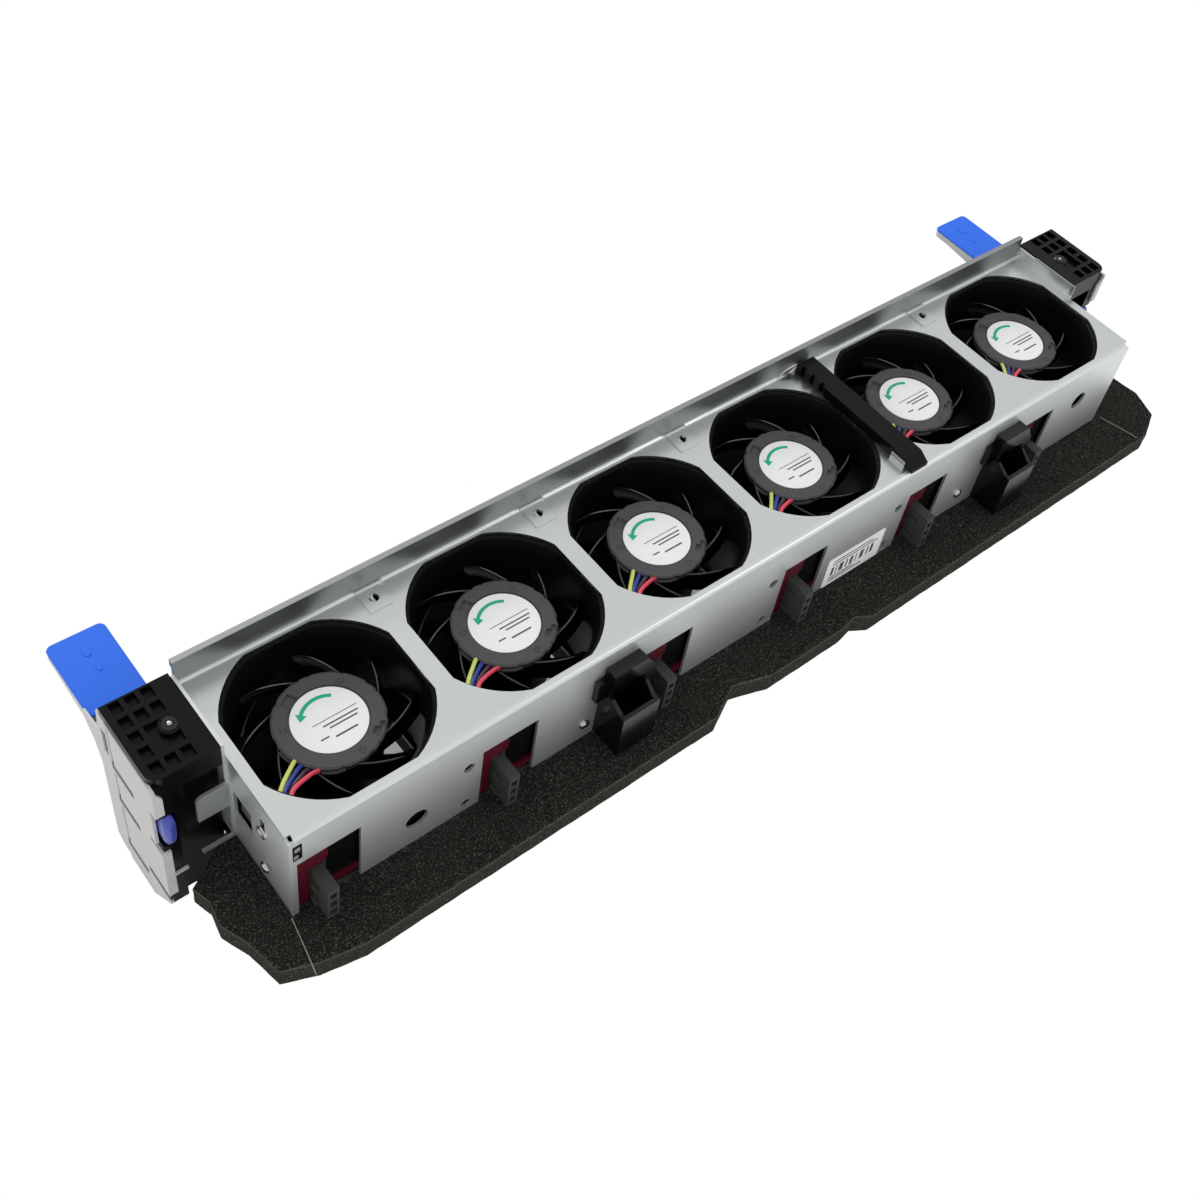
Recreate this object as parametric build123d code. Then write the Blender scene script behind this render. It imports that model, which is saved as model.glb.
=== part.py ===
from build123d import *
import os
from math import cos, radians, sin, sqrt

# Fan cage of a rack server: a folded sheet-metal tray with six plug-in fans in a row.
# X runs along the row, +Y is the side the fans are pulled out of, +Z is the air outlet.
# The pieces are drawn from the middle of the row and the outer face of the outlet sheet.
# At the end they are moved so that the origin is the middle of the whole plan at its lowest plane,
# which is the underside of the latch blocks.

# Sheet-metal cage
fan_count = 6
sheet = 1.0
bend_radius = 1.0
flange_height = 10.6
flange_hem = 3.0
outlet_reach = 1.8
outlet_inset_x = 0.8
outlet_inset_y = 0.4
inlet_inset = 1.6
inlet_corner = 9.0
corner_relief = 1.8

# Fans
fan_size = 60.0
fan_depth = 38.0
fan_corner_cut = 2.0
fan_end_gap = 0.4
fan_flange = 4.0
fan_relief = 16.0
bore_wall = 1.4
rim_recess = 2.0
rim_wall = 1.1
hub_radius = 17.1
hub_sides = 24
hub_thickness = 3.0
hub_drop = 7.4
vane_drop = 0.4
vane_count = 8
vane_height = 8.6
vane_thickness = 1.2
vane_sweep = 38.0
blade_count = 7
blade_thickness = 1.5
blade_chord = 21.0
blade_height = 15.0
blade_camber = 2.6
blade_lean = 46.0
rotor_radius = 16.4
rotor_gap = 0.6
tip_gap = 0.5
vane_to_blade = 1.2
shaft_radius = 1.5
shaft_length = 2.6
shaft_clearance = 0.05

# Fan carriers
carrier_wall = 1.4
carrier_side_gap = 0.6
carrier_face = 0.9
carrier_face_gap = 0.3
carrier_ledge = 1.6
carrier_runner = 1.6
carrier_runner_width = 4.0
carrier_wall_height = 24.0
carrier_bar = 3.4
carrier_bar_reach = 10.0
carrier_bar_depth = 7.6
carrier_bar_front = 1.6
grip_width = 22.0
grip_depth = 4.0

# Plug-in connectors and leads
plug_width = 4.0
plug_height = 16.0
plug_reach = 10.6
plug_inset = 4.4
plug_flange = 1.6
wire_diameter = 1.5
wire_pitch = 2.05

# Windows and holes of the near wall
window_width = 21.2
window_top = 15.2
window_gap = 0.4
guide_hole_radius = 4.0
pair_hole_radius = 2.1
pair_hole_spacing = 20.7
pair_hole_top = 19.4
pair_hole_inset = 3.2

# Raised screw pads between the outlets
pad_length = 9.6
pad_width = 8.4
pad_raise = 0.6
pad_inset = 6.0
pad_hole_radius = 1.8

# Guide brackets on the near wall
guide_width = 15.5
guide_depth = 12.8
guide_back = 4.8
guide_rim_drop = 21.5
guide_top_drop = 8.3
guide_wall = 1.9
guide_mouth = 4.0
guide_flare = 1.0
guide_cheek = 2.4
guide_front_drop = 1.0
guide_floor = 3.0
guide_offset = 49.0

# Foam seal under the inlet side
foam_thick = 10.0
foam_apron = 20.2
foam_left = 18.5
foam_right = 32.1

# Latch blocks at both ends
foot_drop = 21.0
end_plate_gap = 0.3
end_gap = 1.3
block_width = 21.0
block_near = 1.5
block_far_inset = 0.7
block_recess = 4.5
block_column = 5.4
cover_thick = 3.0
cover_rise = 6.0
cover_lip = 0.6
cell_columns = 3
cell_rows = 5
cell_x = 3.4
cell_y = 4.3
cell_pitch_x = 4.85
cell_pitch_y = 5.95
cell_margin = 2.4
cell_depth = 1.8
boss_radius = 3.3
panel_thick = 1.0
panel_reach = 6.5
panel_ear_reach = 7.5
panel_bottom_radius = 13.0
slot_width = 3.4
slot_length = 13.2
slot_levels = (-20.6, -39.2, -66.0)
groove_inset = 4.9
groove_width = 2.2
return_width = 2.9
return_slope = 5.5
ledge_width = 7.3
ledge_drop = 46.2

# Levers, their pins and the release buttons
pivot_reach = 7.0
pivot_drop = 18.6
pin_radius = 1.5
pin_clearance = 0.05
ear_radius = 4.6
ear_thick = 2.0
ear_gap = 0.3
hub_wall = 2.4
lever_length = 36.7
lever_thick = 2.4
lever_rise = 2.2
lever_radius = 3.0
lever_rib = 2.4
cap_thick = 1.0
button_width = 4.4
button_height = 15.0
button_drop = 21.5
button_stand = 2.2
button_gap = 0.3
button_travel = 2.5

# Places worked out from the sizes above
fan_pitch = fan_size + 2 * carrier_wall + 2 * carrier_side_gap + sheet
outlet_radius = fan_size / 2 + outlet_reach
outlet_flat_x = fan_size / 2 - outlet_inset_x
outlet_flat_y = fan_size / 2 - outlet_inset_y
inlet_half = fan_size / 2 - inlet_inset
fan_top = -sheet - fan_end_gap
fan_bottom = fan_top - fan_depth
ledge_z = fan_bottom - carrier_ledge
runner_z = ledge_z - carrier_runner
base_top = runner_z - fan_end_gap
base_z = base_top - sheet
foam_z = base_z - foam_thick
foot_z = foam_z - foot_drop
half_length = fan_count * fan_pitch / 2 + sheet / 2
inner_near = -fan_size / 2 - carrier_face - carrier_face_gap
near_y = inner_near - sheet
far_y = -near_y
pad_y = far_y - pad_inset
bore_radius = fan_size / 2 - bore_wall
hub_top = -hub_drop
hub_bottom = hub_top - hub_thickness
vane_top = hub_top - vane_drop
vane_bottom = vane_top - vane_height
module_half = fan_size / 2 + carrier_wall
window_left = module_half - carrier_wall / 2
block_inner = half_length + end_gap
block_outer = block_inner + block_width
block_far = far_y - block_far_inset
block_top = cover_rise - cover_thick
panel_out = block_outer + panel_thick
panel_far = block_far + panel_reach
groove_y = block_far - groove_inset
slot_y = groove_y + groove_width - 0.4 - slot_length
pivot_y = block_far + pivot_reach
pivot_z = -pivot_drop
panel_ear = pivot_y + panel_ear_reach
lever_tip = pivot_y + lever_length
ear_inner = block_inner + ear_thick
ear_outer = block_outer - ear_thick


def fan_x(number):
    """Middle of fan 1 to 6 along the row."""
    return (number - (fan_count + 1) / 2) * fan_pitch


def boundary_x(number):
    """Middle of the sheet between fan number and the next one."""
    return fan_x(number) + fan_pitch / 2


def block(x0, x1, y0, y1, z0, z1):
    """A square-edged solid between two corners."""
    middle = Pos((x0 + x1) / 2, (y0 + y1) / 2, (z0 + z1) / 2)
    return middle * Box(abs(x1 - x0), abs(y1 - y0), abs(z1 - z0))


def along_x(profile, x0, x1):
    """A Y-Z profile carried from x0 to x1."""
    low = min(x0, x1)
    return extrude(Plane.YZ.offset(low) * profile, amount=abs(x1 - x0))


def plate(y0, y1, z0, z1):
    """A rectangle of a Y-Z profile."""
    return Pos((y0 + y1) / 2, (z0 + z1) / 2) * Rectangle(abs(y1 - y0), abs(z1 - z0))


def quarter_bend(y, z, turn):
    """The bent corner of a folded sheet about (y, z); turn is the corner's first angle."""
    ring = Circle(bend_radius + sheet) - Circle(bend_radius)
    reach = bend_radius + sheet
    wedge = Pos(reach / 2, reach / 2) * Rectangle(reach, reach)
    return Pos(y, z) * Rot(0, 0, turn) * (ring & wedge)


def outlet_outline(radius, flat_x, flat_y):
    """A circle cut by four flats."""
    return Circle(radius) & Rectangle(2 * flat_x, 2 * flat_y)


# Cage sheets

def make_outlet_sheet():
    """Top face with six outlets, and the flange that stands up along its far edge."""
    bend = bend_radius + sheet
    profile = plate(near_y + bend, far_y - bend, -sheet, 0)
    profile += quarter_bend(far_y - bend, bend_radius, 270)
    profile += plate(far_y - sheet, far_y, bend_radius, flange_height)
    profile += plate(far_y, far_y + sheet, flange_height - flange_hem, flange_height)
    body = along_x(profile, -half_length, half_length)
    outlet = outlet_outline(outlet_radius, outlet_flat_x, outlet_flat_y)
    for number in range(1, fan_count + 1):
        cut = Pos(fan_x(number), 0, -sheet) * outlet
        body -= extrude(cut, amount=sheet)
    for x in pad_places():
        body += block(x - pad_width / 2, x + pad_width / 2, pad_y - pad_length / 2,
                      min(pad_y + pad_length / 2, far_y - bend), 0, pad_raise)
        body -= extrude(Pos(x, pad_y, -sheet) * RegularPolygon(pad_hole_radius, 8), amount=sheet + pad_raise)
    return body


def pad_places():
    """The pads stand between all fans but the pair that carries the clip."""
    return [boundary_x(number) for number in (1, 2, 3, 5)]


def make_near_wall():
    """The wall that the fans plug through, with one window for each connector."""
    bend = bend_radius + sheet
    profile = plate(near_y, inner_near, base_z, -bend)
    profile += quarter_bend(near_y + bend, -bend, 90)
    body = along_x(profile, -half_length, half_length)
    relief = half_length - corner_relief
    for side in (-1, 1):
        body -= block(side * relief, side * (half_length + 1), near_y - 1, near_y + bend, -bend, 1)
    for number in range(1, fan_count + 1):
        x0 = fan_x(number) - window_left
        body -= block(x0, x0 + window_width, near_y - 1, inner_near + 1, base_z - 1, -window_top)
    for x, z in guide_holes():
        body -= wall_hole(x, z, guide_hole_radius)
    for number in (2, 4, 5):
        for z in (-pair_hole_top, -pair_hole_top - pair_hole_spacing):
            body -= small_hole(boundary_x(number - 1) - pair_hole_inset, z)
    return body


def guide_holes():
    """Two locating holes, beside the first and the last window."""
    left = fan_x(1) - window_left + window_width + 20.0
    right = fan_x(fan_count) - window_left + window_width + 18.7
    return [(left, -31.0), (right, -20.0)]


def wall_hole(x, z, radius):
    """A round cut through the near wall."""
    return Pos(x, (near_y + inner_near) / 2, z) * Rot(90, 0, 0) * Cylinder(radius, 2 * sheet)


def small_hole(x, z):
    """A punched eight-sided cut through the near wall."""
    start = Plane(origin=(x, inner_near + 1, z), x_dir=(1, 0, 0), z_dir=(0, -1, 0))
    return extrude(start * RegularPolygon(pair_hole_radius, 8), amount=sheet + 2)


def make_inlet_sheet():
    """Bottom face with six square inlets with cut corners."""
    body = block(-half_length, half_length, inner_near, far_y, base_z, base_top)
    inlet = chamfer(Rectangle(2 * inlet_half, 2 * inlet_half).vertices(), inlet_corner)
    for number in range(1, fan_count + 1):
        body -= extrude(Pos(fan_x(number), 0, base_z) * inlet, amount=sheet)
    return body


def make_divider(number):
    """An upright sheet between two fans, from the inlet sheet to the outlet sheet."""
    x = boundary_x(number)
    body = block(x - sheet / 2, x + sheet / 2, inner_near, fan_size / 2, base_top, -sheet)
    body -= bend_corner(x)
    far = fan_size / 2
    mouth = block(x - sheet, x + sheet, far - grip_depth, far + 1, fan_bottom, fan_bottom + grip_width)
    return body - mouth


def bend_corner(x):
    """Room for the inside of the near wall's bend at the corner of an upright sheet."""
    bend = bend_radius + sheet
    return block(x - 2 * sheet, x + 2 * sheet, inner_near - 1, near_y + bend, -bend, 0)


def make_end_wall(side):
    """The closed end of the cage, with its slot and two small holes."""
    x0 = side * (half_length - sheet)
    x1 = side * half_length
    body = block(x0, x1, inner_near, far_y - sheet, base_top, -sheet)
    body -= bend_corner(x0)
    for y0, y1, z0, z1 in ((20.5, 30.6, -29.0, -16.0), (12.4, 15.0, -16.0, -9.0), (10.0, 13.6, -35.0, -31.4)):
        body -= block(x0 - 1, x1 + 1, inner_near + y0, inner_near + y1, z0, z1)
    return body


def make_end_bracket(side):
    """Plate between the cage and a latch block, with a rounded tab and a foot tab."""
    x0 = half_length
    x1 = block_inner - end_plate_gap
    body = block(x0, x1, block_near + 0.5, block_far - 0.5, base_top + 1, cover_rise - 0.5)
    tab_out = half_length + 11.0
    tab = block(x0, tab_out, 0.5, 0.5 + sheet, -25.0, -12.5)
    tab = fillet(tab.edges().filter_by(Axis.Y).group_by(Axis.X)[-1].sort_by(Axis.Z)[-1], 2.5)
    foot = block(x0, tab_out, 0.5, 0.5 + sheet, base_top - 0.6, base_top + 0.8)
    link = block(x0, x1, 0.5, block_near + 0.5, base_top, -12.5)
    body += tab + foot + link
    return body if side > 0 else mirror(body, about=Plane.YZ)


# Fans

def ring_place(radius, angle, z):
    """A point at a radius and an angle round the fan's axis."""
    return (radius * cos(radians(angle)), radius * sin(radians(angle)), z)


def make_vane():
    """One guide vane, bent from the hub towards the housing."""
    bend_at = (hub_radius + bore_radius) / 2 + vane_thickness
    steps = ((hub_radius - 0.6, 0.0), (bend_at, 0.4), (bore_radius + 0.4, 1.0))
    middle = [ring_place(radius, share * vane_sweep, 0) for radius, share in steps]
    return thick_strip(middle, vane_thickness)


def thick_strip(points, width):
    """A face of even width along an open run of points in the X-Y plane."""
    left, right = [], []
    for i, (x, y, _) in enumerate(points):
        before = points[max(i - 1, 0)]
        after = points[min(i + 1, len(points) - 1)]
        dx, dy = after[0] - before[0], after[1] - before[1]
        reach = width / 2 / sqrt(dx * dx + dy * dy)
        left.append((x - dy * reach, y + dx * reach))
        right.append((x + dy * reach, y - dx * reach))
    return make_face(Polyline(*left, *reversed(right), close=True))


def make_fan_frame():
    """Square housing with a round bore, the guide vanes and the motor base they carry."""
    square = chamfer(Rectangle(fan_size, fan_size).vertices(), fan_corner_cut)
    body = extrude(Pos(0, 0, fan_bottom) * square, amount=fan_depth)
    corner = Rectangle(fan_relief * sqrt(2), fan_relief * sqrt(2))
    relief_height = fan_depth - 2 * fan_flange
    for turn in range(4):
        place = Rot(0, 0, 90 * turn) * Pos(fan_size / 2, fan_size / 2, fan_bottom + fan_flange)
        body -= extrude(place * Rot(0, 0, 45) * corner, amount=relief_height)
    body -= extrude(Pos(0, 0, fan_bottom) * Circle(bore_radius), amount=fan_depth)
    rim = outlet_outline(bore_radius + 2 * rim_wall, fan_size / 2 - rim_wall, fan_size / 2 - rim_wall)
    body -= extrude(Pos(0, 0, fan_top - rim_recess) * rim, amount=rim_recess)
    channel = Pos(5.4 - fan_size / 2, 10.6 - fan_size / 2, fan_top - fan_flange / 2) * Rot(0, 0, 45)
    body -= channel * Box(13.0, 4 * wire_pitch + 1.6, fan_flange)
    for i in range(vane_count):
        turned = Rot(0, 0, i * 360 / vane_count) * make_vane()
        body += extrude(Pos(0, 0, vane_bottom) * turned, amount=vane_height)
    hub = RegularPolygon(hub_radius, hub_sides)
    body -= extrude(Pos(0, 0, vane_bottom) * hub, amount=hub_bottom - vane_bottom)
    body += extrude(Pos(0, 0, hub_bottom) * hub, amount=hub_thickness)
    bearing = RegularPolygon(shaft_radius + shaft_clearance, hub_sides // 2, major_radius=False)
    return body - extrude(Pos(0, 0, hub_bottom) * bearing, amount=shaft_length)


def make_blade():
    """One cambered blade: a bowed strip in the tangential plane, carried outwards to the tip."""
    half_run = blade_chord / 2
    bow = [(-half_run, 0.0, 0), (-half_run / 3, blade_camber, 0), (half_run / 3, blade_camber, 0), (half_run, 0.0, 0)]
    strip = thick_strip(bow, blade_thickness)
    start = rotor_radius - 4.0
    half_width = blade_chord / 2 * cos(radians(blade_lean)) + blade_thickness
    reach = sqrt((bore_radius - tip_gap) ** 2 - half_width ** 2) - start
    run = extrude(strip, amount=reach)
    return Pos(start, 0, blade_middle()) * Rot(0, 90, 0) * Rot(0, 0, 90 + blade_lean) * run


def blade_middle():
    """Height of the middle of the blades."""
    return vane_bottom - vane_to_blade - blade_height / 2 - 0.6


def make_rotor():
    """Motor cup with its blades, turning on a shaft in the motor base."""
    cup_top = hub_bottom - rotor_gap
    cup_bottom = blade_middle() - blade_height / 2
    cup_height = cup_top - cup_bottom
    body = extrude(Pos(0, 0, cup_bottom) * RegularPolygon(rotor_radius, hub_sides), amount=cup_height)
    for i in range(blade_count):
        body += Rot(0, 0, i * 360 / blade_count) * make_blade()
    reach = rotor_gap + shaft_length - rotor_gap / 2
    body += extrude(Pos(0, 0, cup_top) * RegularPolygon(shaft_radius, hub_sides // 2), amount=reach)
    return body


def make_carrier():
    """Moulded carrier round the fan: side walls on runners, a near bar and a far face with a finger grip."""
    far = fan_size / 2
    near = -far - carrier_face
    body = None
    for side in (-1, 1):
        wall = block(side * far, side * module_half, near, far, ledge_z, ledge_z + carrier_wall_height)
        wall += block(side * (far - carrier_ledge), side * module_half, near, far, ledge_z, fan_bottom)
        inner = side * (module_half - carrier_runner_width)
        wall += block(inner, side * module_half, near, far, runner_z, ledge_z)
        body = wall if body is None else body + wall
    front = -far - carrier_bar_front
    left = -window_left + window_gap
    bar_top = -window_top - window_gap
    body += block(left, left + carrier_bar, front, -far, ledge_z, bar_top)
    top_bar = block(left, left + carrier_bar_reach, front, -far, bar_top - carrier_bar_depth, bar_top)
    ends = top_bar.edges().filter_by(Axis.Y).group_by(Axis.X)[-1]
    body += fillet(ends, 2.4)
    strip = block(-module_half, module_half, near, -far, ledge_z, ledge_z + 3.0)
    strip -= block(left + carrier_bar, left + carrier_bar + plug_width + 3.2, near - 1, 1 - far, ledge_z, 0)
    body += strip
    face_top = fan_top - 0.2
    body += block(-module_half, module_half, far, far + carrier_face, runner_z, face_top)
    for z in (ledge_z + 8.0, face_top - 6.0):
        grip = block(-grip_width / 2, grip_width / 2, far, far + grip_depth, z, z + 1.6)
        body += grip
    body += block(-1.0, 1.0, far, far + grip_depth / 2, ledge_z + 8.0, face_top - 6.0)
    return body


def make_plug():
    """Blind-mating connector that stands out through the window."""
    far = -fan_size / 2
    left = -window_left + window_gap + carrier_bar + 0.9
    top = -window_top - window_gap - carrier_bar_depth - 1.2
    near = far - plug_reach
    body = block(left, left + plug_width, near, far, top - plug_height, top)
    for z in (top - 4.0, top - 12.0):
        body += block(left - 1.4, left, near + plug_inset, far - 2 * plug_flange, z - 1.0, z)
    for i in range(3):
        z = top - 2.4 - i * 4.6
        body -= block(left + 0.9, left + plug_width - 0.9, near, near + 1.5, z - 2.8, z)
    body += block(left - 0.6, left + plug_width + 1.4, far - plug_flange / 2, far, top - plug_height, top)
    return body


def make_leads():
    """Four leads from the motor base, over the rim and down the corner of the housing."""
    starts = ((-15.5, -6.1), (-14.9, -8.6), (-13.6, -10.9), (-11.7, -12.9))
    edge = -fan_size / 2
    low_z = vane_top + wire_diameter / 2 + 0.15
    high_z = fan_top - fan_flange / 2 + 0.3
    leads = []
    for i in range(4):
        x, y = edge + 5.8 + 0.61 * wire_pitch * i, edge + 15.8 - 0.805 * wire_pitch * i
        outer = (x - 3.9, y - 4.3)
        grow = (hub_radius + 0.3) / sqrt(starts[i][0] ** 2 + starts[i][1] ** 2)
        first = (starts[i][0] * grow, starts[i][1] * grow, low_z)
        over = (x, y, high_z)
        corner = (outer[0], outer[1], high_z)
        low = (outer[0], outer[1], high_z - 15.0)
        route = Polyline(first, over, corner, low)
        start = Plane(origin=first, z_dir=route.tangent_at(0))
        section = start * RegularPolygon(wire_diameter / 2, 4)
        leads.append(sweep(section, path=route, transition=Transition.RIGHT))
    return Compound(children=[solid for lead in leads for solid in lead.solids()])


# Fittings on the cage

def make_divider_clip():
    """Plastic strip that caps the web between the fourth and the fifth outlet."""
    x = boundary_x(4) + 0.4
    half = 4.2
    top = 4.4
    near, far = near_y, far_y - sheet
    outline = Polyline((near, 0), (near, 1.6), (near + 4.4, top), (far - 1.2, top), (far - 1.2, 0), close=True)
    body = along_x(make_face(outline), x - half, x + half)
    for i in range(3):
        z0 = 1.0
        y0 = far - 3.6 - i * 5.0
        body -= block(x - half - 1, x - half + 1.4, y0 - 2.0, y0, z0, top + 1)
    return body


def make_guide_bracket(number):
    """Open-topped moulded pocket on the near wall that takes a guide post."""
    x0 = fan_x(number) - guide_offset
    x1 = x0 + guide_width
    rim = -guide_rim_drop
    top = -guide_top_drop
    near = near_y - guide_depth
    back = near_y - guide_back
    front = rim - guide_front_drop
    cheek = rim + guide_cheek
    side = Polyline((near_y, base_top), (near, base_top), (near, front), (near + 2.4, front), (back - 1.0, cheek),
                    (near_y, cheek), close=True)
    body = along_x(make_face(side), x0, x1)
    outline = Polyline((x0 + 0.6, rim), (x0 + 0.6, top), (x1 - 0.8, top), (x1 + 4.2, top - 7.7),
                       (x1 + 4.2, rim - 6.0), (x1, rim - 6.0), (x1, rim), close=True)
    upright = Plane.XZ.offset(-near_y) * make_face(outline)
    body += extrude(upright, amount=guide_back)
    middle = Pos((x0 + x1) / 2, (near + near_y) / 2, base_top + guide_floor)
    wide, deep = x1 - x0 - 2 * guide_wall, guide_depth - 2 * guide_wall
    throat = rim - guide_mouth - base_top - guide_floor
    flare = guide_mouth + guide_cheek + 2.5
    body -= extrude(middle * Rectangle(wide, deep), amount=throat)
    mouth = Wedge(wide + 2 * guide_flare, flare, deep + 2 * guide_flare,
                  guide_flare, guide_flare, wide + guide_flare, deep + guide_flare)
    body -= Pos(0, 0, throat + flare / 2) * middle * Rot(-90, 0, 0) * mouth
    body += block(x0 - 3.4, x0 + 0.7, near_y - 2.4, near_y, rim - 1.0, rim + 9.0)
    return body


def make_foam():
    """Foam seal: a ring under the cage with an apron past the near wall and both ends."""
    near = near_y - foam_apron
    left = -half_length - foam_left
    right = half_length + foam_right
    gap = 0.5
    bay = block_near + block_recess
    middle = boundary_x(fan_count // 2)
    points = [
        (left + 6.5, near + 8.0), (left + 17.5, near + 3.4), (left + 32.0, near + 0.6),
        (middle - 42.0, near), (middle - 29.0, near + 6.6), (middle - 14.0, near + 2.0), (middle + 22.0, near + 2.0),
        (middle + 30.0, near + 3.4), (middle + 36.0, near), (right - 18.0, near + 1.0), (right - 5.0, near + 7.4),
        (right, near + 20.0), (right - 1.6, near + 34.0),
        (half_length + 1.0, near + 46.0), (half_length + 1.0 - gap, far_y - 0.8),
        (-half_length, far_y - 0.8), (-half_length, bay - 2 * gap), (left - 0.6, near + 45.2),
        (left + 1.4, near + 38.4), (left, near + 30.4), (left + 4.0, near + 20.8),
    ]
    outline = make_face(Polyline(*points, close=True))
    body = extrude(Pos(0, 0, foam_z) * outline, amount=foam_thick)
    hole = Rectangle(2 * inlet_half, 2 * inlet_half - 1.0)
    for number in range(1, fan_count + 1):
        body -= extrude(Pos(fan_x(number), 0, foam_z) * hole, amount=foam_thick)
    return body


# Latch blocks, made for the right end and mirrored for the left

def handed(body, side):
    """The right-hand piece as it is, or its mirror image for the left end."""
    return body if side > 0 else mirror(body, about=Plane.YZ)


def make_latch_housing(side):
    """Moulded block that carries the lever and the button."""
    near, far = block_near, block_far
    edge = Polyline((near, block_top), (near, foot_z + 11.0), (near + 12.0, foot_z), (far, foot_z),
                    (far, block_top), close=True)
    body = along_x(make_face(edge), block_inner, block_outer - 0.1)
    inner = block_outer - block_column
    body -= block(block_inner, inner, near - 1, near + block_recess, foot_z - 1, block_top - 6.0)
    pocket_top = pivot_z + ear_radius + 3.0
    body -= block(ear_inner, ear_outer, far - 5.0, far + 1, foot_z + 14.0, pocket_top)
    for x0, x1 in ((block_inner, ear_inner), (ear_outer, block_outer - 0.1)):
        lug = plate(far - 0.5, pivot_y, pivot_z - ear_radius, pivot_z + ear_radius)
        lug += Pos(pivot_y, pivot_z) * Circle(ear_radius)
        lug -= Pos(pivot_y, pivot_z) * Circle(pin_radius)
        body += along_x(lug, x0, x1)
    body -= button_pocket()
    return handed(body, side)


def button_place():
    """Corners of the button across X and Z."""
    x1 = block_outer - 0.4
    z1 = -button_drop + button_height / 2
    return x1 - button_width, x1, z1 - button_height, z1


def button_pocket():
    """The well that the button slides in."""
    x0, x1, z0, z1 = button_place()
    gap = button_gap
    depth = 8.0 + button_travel + gap
    return block(x0 - gap, x1 + 2, block_near - 1, block_near + depth, z0 - gap, z1 + gap)


def make_cover(side):
    """Top plate of a latch block: cells in even rows, and a larger pocket round the screw's boss."""
    x0, x1 = block_inner, block_outer + cover_lip
    y0, y1 = block_near, block_far + cover_lip
    plan = Pos((x0 + x1) / 2, (y0 + y1) / 2, block_top) * Rectangle(x1 - x0, y1 - y0)
    corner = plan.vertices().group_by(Axis.Y)[0].sort_by(Axis.X)[-1]
    body = extrude(fillet(corner, 4.0), amount=cover_thick)
    floor = cover_rise - cell_depth
    start_x = x1 - cell_margin - (cell_columns - 1) * cell_pitch_x - cell_x
    start_y = y0 + cell_margin - 0.6
    for i in range(cell_columns):
        for j in range(cell_rows):
            x = start_x + i * cell_pitch_x
            y = start_y + j * cell_pitch_y
            wide = cell_pitch_x + 0.1 if (i, j) in ((0, 1), (0, 2)) else cell_x
            tall = cell_pitch_y + 0.1 if j == 1 and i < 2 else cell_y
            body -= block(x, x + wide, y, y + tall, floor, cover_rise)
    screw_x = start_x + cell_x / 2
    screw_y = start_y + cell_pitch_y * 2 + cell_y / 4
    body += Pos(screw_x, screw_y, floor + cell_depth / 2) * Cylinder(boss_radius, cell_depth)
    return handed(body, side)


def make_side_panel(side):
    """Grey outer plate with grip slots, a return at its near edge and an ear for the lever."""
    near, far = block_near - 1.0, panel_far
    top = block_top
    ear_z = pivot_z + 3.0
    points = [
        (near, top), (near, foot_z + panel_bottom_radius), (near + panel_bottom_radius, foot_z), (far - 3.0, foot_z),
        (far, foot_z + 3.0), (far, pivot_z - 11.0), (far + 3.0, pivot_z - 3.0), (panel_ear, ear_z),
        (panel_ear, ear_z + 4.0), (far - 2.2, ear_z + 6.0), (far - 4.0, top),
    ]
    outline = make_face(Polyline(*points, close=True))
    for z in slot_levels:
        outline -= plate(slot_y, slot_y + slot_length, z, z + slot_width)
    outline -= plate(near - 1, near + slot_length, slot_levels[-1] + 5.4, slot_levels[-1] + 5.4 + slot_width)
    outline -= plate(block_far - 1.3, block_far + slot_width - 1.9, pivot_z + 1.4, pivot_z + 13.9)
    x0, x1, z0, z1 = button_place()
    outline -= plate(near - 1, near + 3.4, z0 - 3.0, z1 + 3.0)
    outline -= plate(near - 1, near + 7.0, z0 - 3.0, z0 - 1.0)
    body = along_x(outline, block_outer, panel_out)
    body -= block(panel_out - 0.3, panel_out + 1, groove_y + groove_width, panel_ear + 1, foot_z - 1, cover_rise)
    levels = (top,) + slot_levels
    for high, low in zip(levels, levels[1:]):
        body -= block(panel_out - 0.6, panel_out + 1, groove_y, groove_y + groove_width, low + slot_width, high - 1.4)
    inner = panel_out - return_width
    upper = Polyline((panel_out, z1 + 3.0), (inner, z1 + 3.0), (inner, top - return_slope), (panel_out, top),
                     close=True)
    body += extrude(Plane.XZ.offset(-near - 0.9) * make_face(upper), amount=0.9)
    body += block(inner, panel_out, near, near + 0.9, slot_levels[-1] + 9.0, z0 - 3.0)
    body += block(panel_out - ledge_width, panel_out, near, near + 0.9, -ledge_drop - 0.8, -ledge_drop)
    return handed(body, side)


# Moving parts of the latches

def make_lever(side):
    """Grey lever arm: a flat paddle with side ribs on a hub round the pin."""
    x0, x1 = ear_inner + ear_gap, ear_outer - ear_gap
    wide0, wide1 = block_inner + 1.4, block_outer - 0.3
    bottom = pivot_z + lever_rise - lever_thick
    start = pivot_y + ear_radius + 1.2
    hub_radius_out = pin_radius + hub_wall
    profile = Pos(pivot_y, pivot_z) * Circle(hub_radius_out)
    profile += plate(pivot_y, start + 2.0, bottom, bottom + lever_thick)
    profile -= Pos(pivot_y, pivot_z) * Circle(pin_radius + pin_clearance)
    body = along_x(profile, x0, x1)
    paddle = Pos((wide0 + wide1) / 2, (start + lever_tip) / 2, bottom)
    shape = Rectangle(wide1 - wide0, lever_tip - start)
    ends = shape.vertices().group_by(Axis.Y)[-1]
    body += extrude(paddle * fillet(ends, lever_radius), amount=lever_thick)
    for x in (wide0, wide1 - 1.2):
        rib = Polyline((start, bottom), (start, bottom - lever_rib), (lever_tip - 8.0, bottom), close=True)
        body += along_x(make_face(rib), x, x + 1.2)
    return handed(body, side)


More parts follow.
